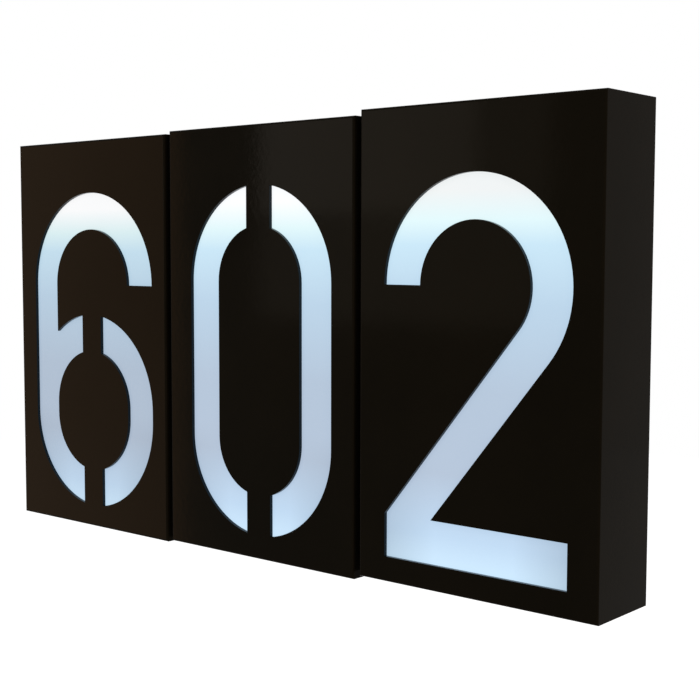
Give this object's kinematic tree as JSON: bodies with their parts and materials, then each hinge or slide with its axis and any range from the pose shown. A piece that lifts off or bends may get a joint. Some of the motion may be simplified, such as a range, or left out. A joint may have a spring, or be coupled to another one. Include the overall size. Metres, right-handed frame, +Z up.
{
  "type": "illuminated house number sign",
  "caption": "Wall-mounted house number in black box modules on a shared rail, each with a stencil-cut digit lit from behind through an opal sheet; covers pull off.",
  "frame": {"origin": "centre of the four wall screw holes, on the rail's rear face, which lies on the wall", "axes": "+X to the right as seen from the street, +Y into the wall, +Z up; the digits face -Y"},
  "size_m": [0.4466, 0.0565, 0.2564],
  "materials": {
    "black_coat": "gloss black powder coat",
    "opal": "opal acrylic sheet, lit from behind",
    "tray_zinc": "zinc-plated folded steel sheet",
    "frame_zinc": "zinc-plated steel strip",
    "plate_white": "white painted aluminium sheet",
    "board_white": "white solder mask",
    "led_lens": "phosphor window in a white package",
    "connector_white": "moulded nylon",
    "terminal_grey": "moulded polyamide",
    "lead_black": "soft wire insulation",
    "lead_red": "soft wire insulation",
    "rail_aluminium": "satin anodised extrusion",
    "cap_black": "fine-textured moulding",
    "grommet_rubber": "moulded rubber",
    "screw_steel": "stainless steel",
    "screw_black": "black stainless steel"
  },
  "bodies": {
    "root": {"back_tray_six": "tray_zinc", "back_tray_two": "tray_zinc", "back_tray_zero": "tray_zinc", "board_connectors": "connector_white", "cover_screws": "screw_black", "jumper_lead_left": "lead_black", "jumper_lead_right": "lead_black", "lead_bushes": "cap_black", "led_boards_six": "board_white", "led_boards_two": "board_white", "led_boards_zero": "board_white", "led_chips_six": "led_lens", "led_chips_two": "led_lens", "led_chips_zero": "led_lens", "led_leads_six": "lead_red", "led_leads_two": "lead_red", "led_leads_zero": "lead_red", "led_plate_six": "plate_white", "led_plate_two": "plate_white", "led_plate_zero": "plate_white", "plate_posts": "connector_white", "rail_end_cap_left": "cap_black", "rail_end_cap_right": "cap_black", "rail_nuts": "screw_steel", "supply_bush": "cap_black", "terminal_block_six": "terminal_grey", "terminal_block_two": "terminal_grey", "terminal_block_zero": "terminal_grey", "tray_screws": "screw_steel", "wall_grommet": "grommet_rubber", "wall_rail": "rail_aluminium"},
    "cover_six": {"cover_six": "black_coat", "diffuser_six": "opal", "diffuser_frame_six": "frame_zinc"},
    "cover_zero": {"cover_zero": "black_coat", "diffuser_zero": "opal", "diffuser_frame_zero": "frame_zinc"},
    "cover_two": {"cover_two": "black_coat", "diffuser_two": "opal", "diffuser_frame_two": "frame_zinc"}
  },
  "joints": [
    {"name": "cover_six_pull", "type": "slide", "parent": "root", "child": "cover_six", "axis": [0, -1, 0], "range_m": [0, 0.045]},
    {"name": "cover_zero_pull", "type": "slide", "parent": "root", "child": "cover_zero", "axis": [0, -1, 0], "range_m": [0, 0.045]},
    {"name": "cover_two_pull", "type": "slide", "parent": "root", "child": "cover_two", "axis": [0, -1, 0], "range_m": [0, 0.045]}
  ]
}
